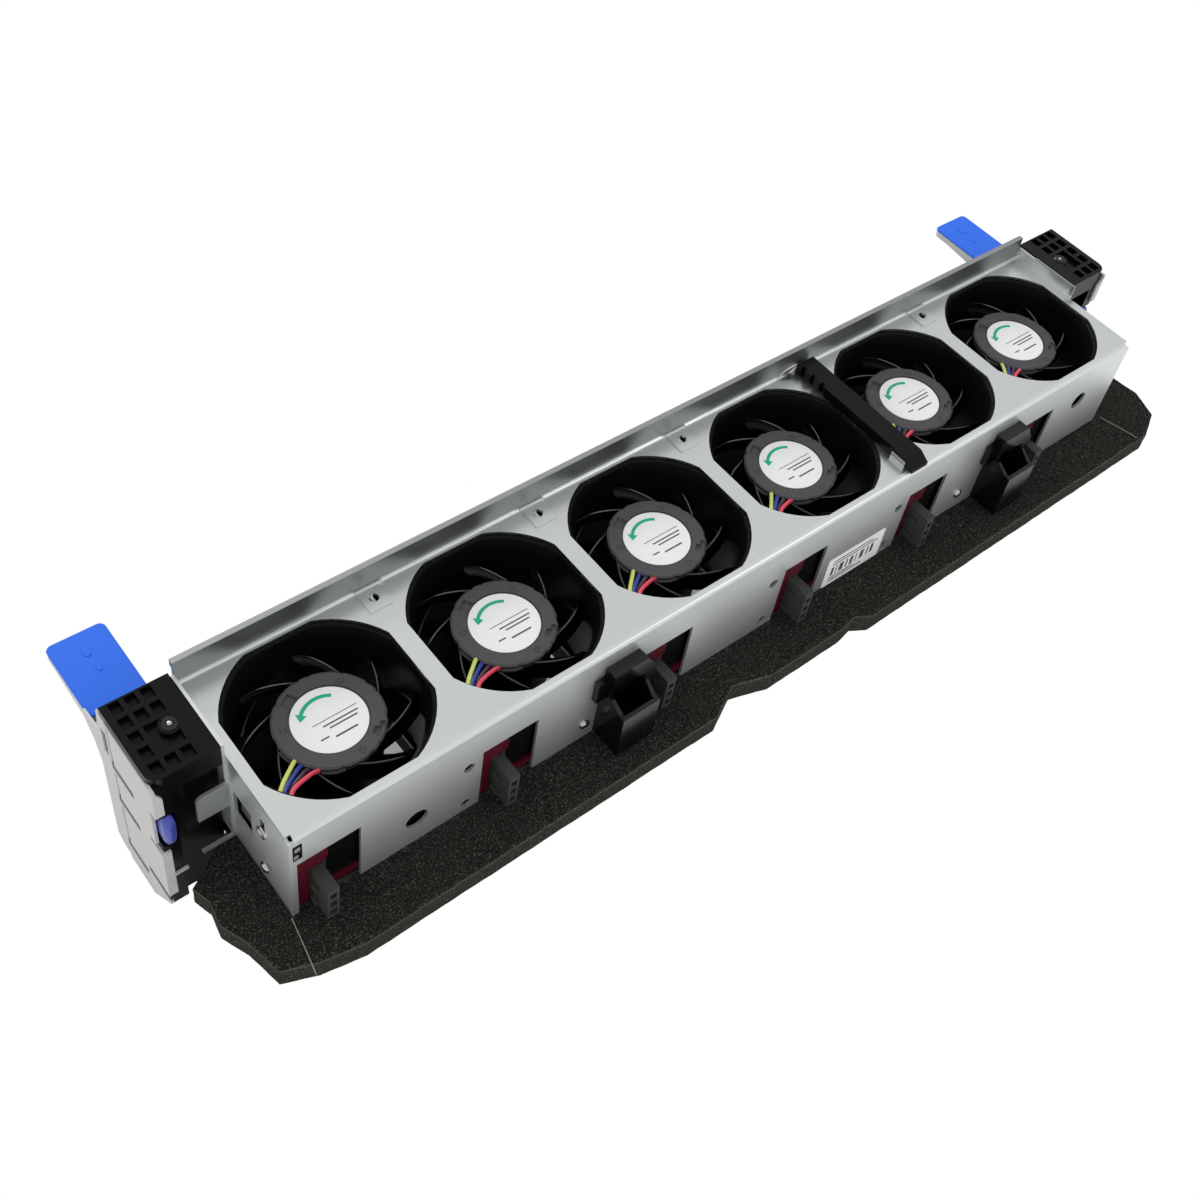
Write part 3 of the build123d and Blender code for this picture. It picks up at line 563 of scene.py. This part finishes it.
def cushion(half_wide, half_tall, straight, dome, count=48):
    """A rounded oblong: straight sides, then rings that shrink as a cosine while they rise as a sine."""
    angle = np.linspace(0, 2 * np.pi, count, endpoint=False)
    a = half_wide * signed_power(np.cos(angle), 0.75)
    b = half_tall * signed_power(np.sin(angle), 0.75)
    rings = [(0.0, 0.0), (1.0, 0.0), (1.0, straight)]
    rings += [(math.cos(t), straight + dome * math.sin(t)) for t in np.linspace(0.2, np.pi / 2, 9)]
    return skinned(np.stack([np.stack([a * k, b * k, np.full(count, z)], -1) for k, z in rings]))


button_blue = make_finish("button_moulding", (0.055, 0.075, 0.42), 0.20)
dome = 2.4
for side in ("left", "right"):
    low, high = local(f"release_button_{side}")
    half, middle = (high - low) / 2, (low + high) / 2
    pad = cushion(half[0], half[2], 2 * half[1] - dome, dome)
    nose = facing("near", pad, middle[0], middle[2], -high[1])
    nose = add_piece(f"button_{side}_nose", nose, button_blue, f"button_{side}", sharp=60)
    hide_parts(f"release_button_{side}")


# Fan housings: square black mouldings, slid into the cage in a row. The rim round each outlet
# follows the opening in the sheet, a circle cut by flats, and runs smoothly into the round bore.
fan_pitch = 65.0
housing_foot, housing_top, bore_radius = 35.6, 73.6, 28.6


def housing_points(count=256):
    """Rings round the fan's axis: a square with cut corners, then the rim, then circles down the bore.

    A side at a distance d lies at d over the larger of cosine and sine, a cut corner at d over their sum.
    """
    angle = np.linspace(0, 2 * np.pi, count, endpoint=False)
    c, s = np.abs(np.cos(angle)), np.abs(np.sin(angle))
    square = np.minimum(30 / np.maximum(c, s), 58 / (c + s))
    rim = np.maximum(np.minimum(30.6, 28.9 / np.maximum(c, s)), 28.65)
    rings = [(square, housing_foot), (square, housing_top), (rim + 0.1, housing_top),
             (rim, housing_top - 0.15), (bore_radius, 69.0), (bore_radius, housing_foot + 0.8),
             (bore_radius + 0.6, housing_foot)]
    return np.stack([around(r, angle, z) for r, z in rings])


def on_each_fan(part, piece, material, body="fan"):
    """The same piece at each of the six fans, riding on the fan or on its rotor, with the fan's number."""
    points, faces = piece
    placed = []
    for number in range(1, 7):
        shift = ((number - 3.5) * fan_pitch, 0, 0)
        work = add_piece(f"fan_{number}_{part}", (points + shift, faces), material, f"{body}_{number}")
        placed.append((number, work))
    return placed


rim_black = make_finish("rim_moulding", jet, 0.40, shine=0.06)
# Above 73.2 mm the rim's black is painted a little paler, a faint painted highlight along the opening's
# edge.
tint_above(rim_black, 0.0732, (0.009, 0.009, 0.0095))
housing = housing_points()
housing_faces = grid_faces(*housing.shape[:2], close_rows=True, close_cols=True)
for number, shell in on_each_fan("housing", (housing, housing_faces), rim_black):
    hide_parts(f"fan_{number}_frame")


# Guide vanes: eight thin fins, moulded with the housing, swept from the motor base to the bore wall
# and leaning a little along the flow. Their upper edges are painted paler as a highlight, and drop at the
# wall.
vane_start, vane_reach, vane_middle, vane_half_tall, vane_half_thick = 16.7, 12.1, 62.3, 3.7, 0.55


def vane_points(stations=14, corners=12):
    """Round-ended sections, tall in Z, set along a curve whose angle grows as a power of the way out."""
    u = np.linspace(0, 1, stations)[:, None]
    t = np.linspace(0, 2 * np.pi, corners, endpoint=False)[None, :]
    radius = vane_start + vane_reach * u
    sweep = np.radians(-6 + 42.5 * u ** 0.68)
    drop = 1.9 * u ** 5
    thick = vane_half_thick * signed_power(np.cos(t), 0.6)
    height = vane_middle + vane_half_tall * signed_power(np.sin(t), 0.5)
    lean = np.radians(-7) * ((vane_middle + vane_half_tall - height) / (2 * vane_half_tall)) ** 2
    return around(radius, sweep + lean + thick / radius, height - drop)


def spun(piece, count):
    """Copies of a piece at even angles about Z, as one piece."""
    points, faces = piece
    copies = []
    for a in 2 * np.pi * np.arange(count) / count:
        turn = np.array([[np.cos(a), np.sin(a), 0], [-np.sin(a), np.cos(a), 0], [0, 0, 1]])
        copies.append((points.reshape(-1, 3) @ turn, faces))
    return joined(copies)


vane_black = make_finish("vane_moulding", jet, 0.30, shine=0.2)
# Above 65.6 mm the vanes are painted pale grey, a painted highlight on their upper edges.
tint_above(vane_black, 0.0656, (0.15, 0.15, 0.153))
for number, fins in on_each_fan("vanes", spun(capped(vane_points()), 8), vane_black):
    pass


# Motor base: a dark grey moulded disc in the middle of the vanes, with a raised ring round the
# label, a recess and a notch in the ring, three small dimples and two lips under the edge.
hub_radius, ring_inner, hub_foot, hub_top, label_seat = 17.4, 12.35, 64.65, 67.6, 67.1


def dent(x, y, radius, degrees, half_out, half_wide):
    """One inside a box at a radius and angle, nought outside it, with a slope 0.2 wide between them."""
    a = np.radians(degrees)
    out = x * np.cos(a) + y * np.sin(a) - radius
    wide = y * np.cos(a) - x * np.sin(a)
    inside = np.clip((half_out - np.abs(out)) / 0.2 + 0.5, 0, 1)
    return inside * np.clip((half_wide - np.abs(wide)) / 0.2 + 0.5, 0, 1)


def hub_points(count=288):
    """Circles up the side and inwards over the ring, which is lower in the dents and round each dimple."""
    angle = np.linspace(0, 2 * np.pi, count, endpoint=False)
    degrees = np.degrees(angle)
    rim = hub_radius - 0.28 * (np.sin(9 * angle) + np.sin(23 * angle + 1.0) > 0.9)
    lips = 0.7 * ((np.abs(degrees - 190) < 8) | (np.abs(degrees - 243) < 12))
    side = [(0 * rim, hub_foot), (rim - 0.5, hub_foot), (rim - 0.3, 64.9), (rim - 0.3 + lips, 65.0),
            (rim - 0.3 + lips, 65.7), (rim - 0.3, 65.9), (rim - 0.1, 66.6), (rim, 67.0)]
    rings = [around(r, angle, z) for r, z in side]
    share = np.linspace(1, 0, 27)[:, None]
    radius = ring_inner + (rim - 12.4) * share
    x, y = radius * np.cos(angle), radius * np.sin(angle)
    z = hub_top - 0.35 * np.clip((radius - rim + 0.6) / 0.4, 0, 1)
    z -= 1.1 * dent(x, y, 13.8, 119, 1.8, 2.25)
    z -= 0.3 * (dent(x, y, 16.6, 127.3, 1.2, 0.15) + dent(x, y, 16.6, 110.7, 1.2, 0.15))
    z -= 1.0 * np.maximum(dent(x, y, 16.5, -46, 1.3, 2.5), dent(x, y, 14.7, -49, 0.9, 1.2))
    for away, turn in ((14.3, 45.5), (14.0, 163.0), (15.0, -81.0)):
        gap = np.hypot(x - away * math.cos(math.radians(turn)), y - away * math.sin(math.radians(turn)))
        z -= 0.4 * np.exp(-((gap - 0.9) / 0.3) ** 2)
    seat = [around(r, angle, label_seat) for r in (12.3, 0.0)]
    return np.concatenate([rings, np.stack([x, y, z], -1), seat])


hub_grey = make_finish("hub_moulding", (0.072, 0.069, 0.073), 0.55, grain=0.15, shine=0.3)
on_each_fan("hub", skinned(hub_points()), hub_grey)


# Label: a white paper disc glued in the motor base's ring, with a green arrow for the sense of
# rotation and plain grey bars.
label_profile = [(0.0, 67.12), (11.8, 67.12), (11.8, 67.36), (11.6, 67.42), (0.0, 67.44)]
label_top, ink_thick = 67.44, 0.04
on_each_fan("label", lathed(label_profile, 96), paper)

ink_green = make_finish("label_green", (0.02, 0.42, 0.24), 0.55, shine=0.2)
turn = np.radians(np.linspace(55, 138, 24))
band = np.concatenate([around(9.2, turn, 0)[:, :2], around(8.0, turn, 0)[::-1, :2]])
tip = around(np.array([10.4, 8.6, 6.8]), np.radians([137, 154, 137]), 0)[:, :2]
arrow = joined([slab(band, label_top, label_top + ink_thick),
                slab(tip, label_top, label_top + ink_thick + 0.01)])
on_each_fan("label_arrow", arrow, ink_green)
bar_boxes = [(-5.5, 0.3, 9.5, 0.55), (-3.0, -1.6, 9.0, -1.1), (-1.5, -3.0, 8.0, -2.5),
             (-6.0, -5.4, -3.2, -4.9), (-1.6, -6.6, 6.0, -6.0)]
bars = joined([slab(oblong(*box), label_top, label_top + ink_thick) for box in bar_boxes])
on_each_fan("label_bars", bars, ink_grey)


# Rotors: a black moulded cup on the motor's shaft with seven twisted blades, turning under the
# guide vanes.
cup_profile = [(0.0, 41.8), (15.6, 41.8), (16.4, 42.6), (16.4, 63.3), (15.7, 64.0), (0.0, 64.0)]
for number, cup in on_each_fan("cup", lathed(cup_profile, 96), matt_black, body="rotor"):
    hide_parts(f"fan_{number}_rotor")
blade_start, blade_reach, blade_middle, blade_foot, blade_top = 16.0, 12.1, 49.4, 41.6, 57.4


def blade_points(stations=12, corners=18):
    """Bowed sections, thin at both ends, on a chord whose pitch falls and length grows towards the tip."""
    u = np.linspace(0, 1, stations)[:, None]
    t = np.linspace(0, 2 * np.pi, corners, endpoint=False)[None, :]
    radius = blade_start + blade_reach * u
    pitch = np.radians(52 - 18 * u)
    share = np.cos(t)
    thick = 0.75 * np.sin(t) * (1 - 0.5 * share ** 2)
    bow = 2.4 * (1 - share ** 2) + thick
    along = (10.0 + 1.5 * u) * share
    arc = along * np.cos(pitch) - bow * np.sin(pitch)
    height = blade_middle + along * np.sin(pitch) + bow * np.cos(pitch)
    return around(radius, -arc / radius + np.radians(10) * u, np.clip(height, blade_foot, blade_top))


for number, blades in on_each_fan("blades", spun(capped(blade_points()), 7), matt_black, body="rotor"):
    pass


# Leads: four wires with coloured plastic jackets, from the motor base over the rim of the housing
# and down into its corner.
lead_radius, lead_root, lead_foot = 0.72, 66.6, 58
leads = [("lead_yellow", (0.60, 0.66, 0.16), (-15.5, -6.1), (-24.3, -14.0, 71.2)),
         ("lead_blue", (0.018, 0.045, 0.26), (-14.9, -8.6), (-23.5, -15.1, 71.0)),
         ("lead_dark", (0.045, 0.018, 0.045), (-13.6, -10.9), (-23.0, -16.1, 70.0)),
         ("lead_red", (0.72, 0.06, 0.11), (-11.7, -12.9), (-22.2, -16.9, 71.5))]
for place_in_row, (name, colour, (x0, y0), (x1, y1, z1)) in enumerate(leads, 1):
    crest = (0.65 * x0 + 0.35 * x1, 0.65 * y0 + 0.35 * y1, 68.3 + 0.3 * place_in_row)
    path = smooth_path([(x0, y0, lead_root), crest, (x1, y1, z1), (x1 - 3.4, y1 - 3.7, z1 - 1.0),
                        (x1 - 4.0, y1 - 4.4, lead_foot)])
    jacket = make_finish(name, colour, 0.35)
    for number, lead in on_each_fan(f"lead_{place_in_row}", wire(path, lead_radius), jacket):
        if place_in_row == 1:
            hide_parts(f"fan_{number}_leads")


# Carriers and plugs: each fan sits in a moulded carrier of dark maroon, painted darker still as shade
# inside the near wall's windows. Only the left half of its near bar shows the maroon; behind the bar and on
# the right half it is painted black as shade. Its dark grey plug stands out through a window of the near
# wall.
# The base is a dark maroon, painted darker still for the shade inside the near wall's windows.
maroon = make_finish("maroon_moulding", (0.075, 0.002, 0.010), 0.24, grain=0.05)
maroon_tree, half_pitch, bar_back = maroon.node_tree, 0.0325, -0.0292
spot = object_place(maroon_tree)
behind_bar = worked(maroon_tree, "GREATER_THAN", spot[1], row_middle[1] + bar_back)
from_fan = worked(maroon_tree, "SUBTRACT", spot[0], row_middle[0] + half_pitch)
from_fan = worked(maroon_tree, "WRAP", from_fan, half_pitch, -half_pitch)
right_half = worked(maroon_tree, "GREATER_THAN", from_fan, 0.0)
# Painted shade: behind the near bar and on each carrier's right half the colour is painted black.
tint_where(maroon, worked(maroon_tree, "MAXIMUM", behind_bar, right_half), jet)
plug_grey = make_finish("plug_moulding", (0.038, 0.042, 0.038), 0.45, grain=0.08, shine=0.35)
for number in range(1, 7):
    dress(f"fan_{number}_carrier", maroon, 0.0004)
    dress(f"fan_{number}_plug", plug_grey, 0.0002)


# Foam seal: one cut sheet of open-cell foam, glued under the inlet sheet, with a square inlet under
# each fan and a wide apron past the near wall. Its edges wander and its top isn't quite flat.
foam_low, foam_high, edge_inset = 21.1, 30.9, 0.7
inlet_half_long, inlet_half_wide = 28.4, 27.9
foam_outline = [(-207.5, -44.4), (-196.5, -49.0), (-182.0, -51.8), (-42.0, -52.4), (-29.0, -45.8),
                (-14.0, -50.4), (22.0, -50.4), (30.0, -49.0), (36.0, -52.4), (209.6, -51.4),
                (222.6, -45.0), (227.6, -32.4), (226.0, -18.4), (196.5, -6.4), (196.0, 31.4),
                (-195.5, 31.4), (-195.5, 5.0), (-214.6, -7.2), (-212.6, -14.0), (-214.0, -22.0),
                (-210.0, -31.6)]
foam_edge = [(0.2, 30.6), (0.0, 30.0), (0.12, 27.0), (0.0, 24.0), (0.05, 22.0), (0.25, 21.4)]


def even_loop(corners, step):
    """Points at about even steps along a closed run of straight sides."""
    p = np.array(corners, float)
    q = np.roll(p, -1, axis=0)
    counts = np.maximum((np.linalg.norm(q - p, axis=1) / step).astype(int), 1)
    return np.concatenate([a + (b - a) * np.arange(n)[:, None] / n for a, b, n in zip(p, q, counts)])


def inset(loop, depth):
    """The loop moved to its left by a depth, or one for each point, square to its neighbours' line."""
    ahead = np.roll(loop, -1, axis=0) - np.roll(loop, 1, axis=0)
    ahead /= np.linalg.norm(ahead, axis=1, keepdims=True)
    return loop + np.reshape(depth, (-1, 1)) * np.stack([-ahead[:, 1], ahead[:, 0]], -1)


def wander(loop, reach, seed):
    """The loop pushed square to itself by three sine waves of random phase along its length."""
    draw = np.random.default_rng(seed)
    way = np.cumsum(np.linalg.norm(np.roll(loop, -1, axis=0) - loop, axis=1))
    waves = [np.sin(2 * np.pi * k * way / way[-1] + draw.uniform(0, 6.3)) for k in (23, 57, 131)]
    return inset(loop, sum(waves) * reach / 3)


def over_inlet(spots):
    """True for points inside one of the six square inlets, whose middles are one pitch apart."""
    along, beside = np.abs(spots[:, 0] % fan_pitch - fan_pitch / 2), np.abs(spots[:, 1])
    inside = (along < inlet_half_long + edge_inset) & (beside < inlet_half_wide + edge_inset)
    return inside & (np.abs(spots[:, 0]) < 3 * fan_pitch - 1)


def foam_face(loops):
    """Triangles between the loops over loose points 4 mm apart, without those over an inlet.

    Given back are the points, the faces and, for each loop point, its number among them.
    """
    draw = np.random.default_rng(7)
    flat = np.concatenate(loops)
    x, y = np.meshgrid(np.arange(-212, 226, 4.0), np.arange(-50, 31, 4.0))
    spread = np.stack([x.ravel(), y.ravel()], -1) + draw.uniform(-1, 1, (x.size, 2))
    clear = np.abs(spread[:, None] - flat[None, ::2]).max(-1).min(1) > 1.5
    seeds = spread[clear & ~over_inlet(spread)]
    edges = []
    for loop in loops:
        start, n = len(edges), len(loop)
        edges += [(start + k, start + (k + 1) % n) for k in range(n)]
    cloud = [Vector(v) for v in np.concatenate([flat, seeds]).tolist()]
    cover, _, cells, origin, _, _ = delaunay_2d_cdt(cloud, edges, [], 4, 1e-5)
    cover = np.array([tuple(v) for v in cover])
    open_air = over_inlet(np.array([cover[cell].mean(0) for cell in cells]))
    number_of = {source: k for k, sources in enumerate(origin) for source in sources}
    return cover, [list(cell) for cell, gap in zip(cells, open_air) if not gap], number_of


def foam_piece():
    """Top and bottom faces between outline and inlets, joined by rings that follow the edge's profile.

    Both faces have the same cells. The top's height follows a product of two sines and one sine more.
    """
    loops = [wander(even_loop(foam_outline, 2.0), 0.12, 4)]
    for x in (np.arange(6) - 2.5) * fan_pitch:
        corners = oblong(x - inlet_half_long, -inlet_half_wide, x + inlet_half_long, inlet_half_wide)
        loops.append(even_loop(corners[:1] + corners[:0:-1], 4.0))
    cover, cells, number_of = foam_face([inset(loop, edge_inset) for loop in loops])
    x, y = cover.T
    wave = 0.25 * np.sin(x / 11.0 + 1.3) * np.sin(y / 7.0) + 0.15 * np.sin(x / 4.1)
    points = [np.column_stack([cover, foam_high + 0.5 * np.minimum(wave, 0.1)]),
              np.column_stack([cover, np.full(len(cover), foam_low)])]
    faces = cells + [[k + len(cover) for k in cell][::-1] for cell in cells]
    count, start = 2 * len(cover), 0
    for loop in loops:
        n = len(loop)
        points += [np.column_stack([inset(loop, depth), np.full(n, z)]) for depth, z in foam_edge]
        top_row = np.array([number_of[start + k] for k in range(n)])
        edge_rows = count + np.arange(len(foam_edge) * n).reshape(-1, n)
        rows = [top_row, *edge_rows, top_row + len(cover)]
        for a, b in zip(rows, rows[1:]):
            faces += np.stack([a, b, np.roll(b, -1), np.roll(a, -1)], -1).tolist()
        count += n * len(foam_edge)
        start += n
    return np.concatenate(points), faces


def banded(tree, value, stops):
    """A colour ramp through the given places and colours."""
    ramp = tree.nodes.new("ShaderNodeValToRGB")
    while len(ramp.color_ramp.elements) < len(stops):
        ramp.color_ramp.elements.new(0.5)
    for element, (where, colour) in zip(ramp.color_ramp.elements, stops):
        element.position = where
        element.color = (*colour, 1)
    tree.links.new(value, ramp.inputs[0])
    return ramp.outputs["Color"]


def make_foam_material():
    """Dark cells from fine noise, with pale specks at its peaks; the side is painted darker towards the
    bottom and paler just under the top face, as painted shade and a painted highlight on the rounded edge.
    """
    material = make_finish("open_foam", (0.02, 0.02, 0.018), 0.95, grain=1.0, grain_scale=1300.0,
                           shine=0.05)
    tree = material.node_tree
    spot = tree.nodes.new("ShaderNodeTexCoord")
    cells = tree.nodes.new("ShaderNodeTexNoise")
    cells.inputs["Scale"].default_value = 1900.0
    cells.inputs["Detail"].default_value = 2.0
    cells.inputs["Roughness"].default_value = 0.7
    tree.links.new(spot.outputs["Object"], cells.inputs["Vector"])
    cell_stops = [(0.30, (0.004, 0.004, 0.004)), (0.50, (0.016, 0.016, 0.014)),
                  (0.62, (0.040, 0.040, 0.035)), (0.74, (0.15, 0.15, 0.135))]
    specks = banded(tree, cells.outputs["Fac"], cell_stops)
    # Height ramp: painted shade darkening the side towards the bottom, and a painted highlight on the
    # rounded edge just under the top face.
    side_shade_and_highlight_stops = [(0.0, (0.010, 0.010, 0.006)), (0.86, (0.016, 0.016, 0.010)),
                    (0.90, (0.045, 0.045, 0.030)), (0.953, (0.045, 0.045, 0.034)), (0.96, (0.0, 0.0, 0.0))]
    painted_side_light = banded(tree, mapped(tree, object_place(tree)[2], 0.021, 0.031), side_shade_and_highlight_stops)
    total = tree.nodes.new("ShaderNodeVectorMath")
    total.operation = "ADD"
    tree.links.new(specks, total.inputs[0])
    tree.links.new(painted_side_light, total.inputs[1])
    tree.links.new(total.outputs[0], principled(tree).inputs["Base Color"])
    return material


foam = add_piece("foam_sheet", foam_piece(), make_foam_material(), "cage", sharp=60)
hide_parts("foam_seal")


# Cuts in the foam: where the apron was slit, pale threads of torn cells lie along two lines in its
# top face.
torn_foam = make_finish("torn_foam", (0.30, 0.30, 0.27), 0.9, shine=0.1)
slit_height, thread_radius = 31.0, 0.16
slits = [[(-196.0, -32.6), (-197.6, -42.0), (-199.3, -51.6)],
         [(199.7, -33.2), (202.1, -42.5), (203.8, -50.3)]]
for number, slit in enumerate(slits, 1):
    path = smooth_path([(x, y, slit_height) for x, y in slit], 12)
    thread = add_piece(f"foam_slit_{number}", wire(path, thread_radius, 8), torn_foam, "cage")


# Size: the box round everything, in metres.
low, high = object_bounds()
